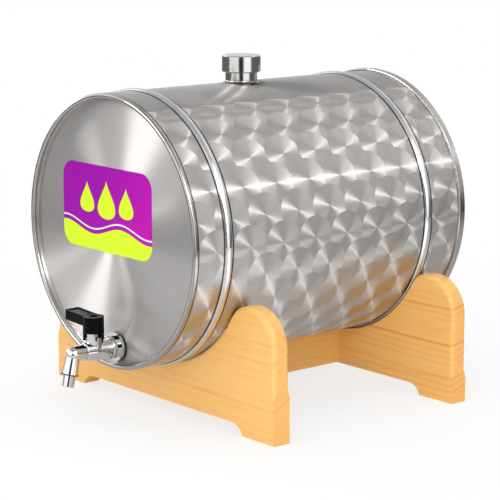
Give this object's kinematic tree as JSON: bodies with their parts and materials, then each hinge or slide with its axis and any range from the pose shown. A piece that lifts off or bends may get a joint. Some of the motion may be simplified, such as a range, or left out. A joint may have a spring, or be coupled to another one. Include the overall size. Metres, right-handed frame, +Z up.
{
  "type": "drink dispenser",
  "caption": "Stainless steel barrel drink dispenser lying in a wooden cradle, with a screw filler cap on top and a small lever tap low on the front head.",
  "frame": {"origin": "on the table under the middle of the part's box, between the spout and the rear chime", "axes": "+Z up, the tap faces -Y, the barrel lies along Y"},
  "size_m": [0.243, 0.2804, 0.2394],
  "materials": {
    "swirl_steel": "engine-turned stainless sheet",
    "satin_steel": "satin stainless sheet",
    "polished_steel": "polished stainless",
    "chrome": "chromed brass",
    "valve_steel": "turned stainless",
    "black_plastic": "moulded, satin black",
    "rubber": "black rubber",
    "silicone": "white silicone",
    "ptfe": "white, machined",
    "pine": "lacquered pine",
    "beech": "plain beech dowel"
  },
  "bodies": {
    "stand": {"front_cradle": "pine", "rear_cradle": "pine", "stretcher": "pine", "front_dowels": "beech", "rear_dowels": "beech"},
    "barrel": {"barrel_shell": "swirl_steel", "front_head": "satin_steel", "rear_head": "satin_steel", "rear_chime": "polished_steel", "filler_neck": "polished_steel", "tap_tail": "chrome", "tap_outer_gasket": "rubber", "tap_inner_gasket": "rubber", "tap_lock_nut": "chrome", "tap_body": "chrome", "ball_seats": "ptfe", "stem_packing": "ptfe", "packing_nut": "chrome", "spout": "chrome", "spout_o_ring": "rubber", "spout_nozzle": "chrome"},
    "lever": {"valve_ball": "valve_steel", "valve_stem": "valve_steel", "lever_handle": "black_plastic", "lever_screw": "valve_steel"},
    "cap_seal": {"cap_gasket": "silicone"},
    "cap": {"filler_cap": "polished_steel"}
  },
  "joints": [
    {"name": "barrel_lift", "type": "slide", "parent": "stand", "child": "barrel", "axis": [0, 0, 1], "range_m": [0, 0.1]},
    {"name": "lever_turn", "type": "hinge", "parent": "barrel", "child": "lever", "pos_m": [0, -0.11476, 0.0497], "axis": [0, 0, 1], "range_deg": [0, 90]},
    {"name": "cap_rise", "type": "slide", "parent": "barrel", "child": "cap_seal", "axis": [0, 0, 1], "range_m": [0, 0.0091]},
    {"name": "cap_turn", "type": "hinge", "parent": "cap_seal", "child": "cap", "pos_m": [0, 0.01324, 0.2205], "axis": [0, 0, 1], "range_deg": [0, 1800]}
  ],
  "couplings": [
    {"joint": "cap_rise", "follows": "cap_turn", "m_per_rad": 0.00028871}
  ]
}
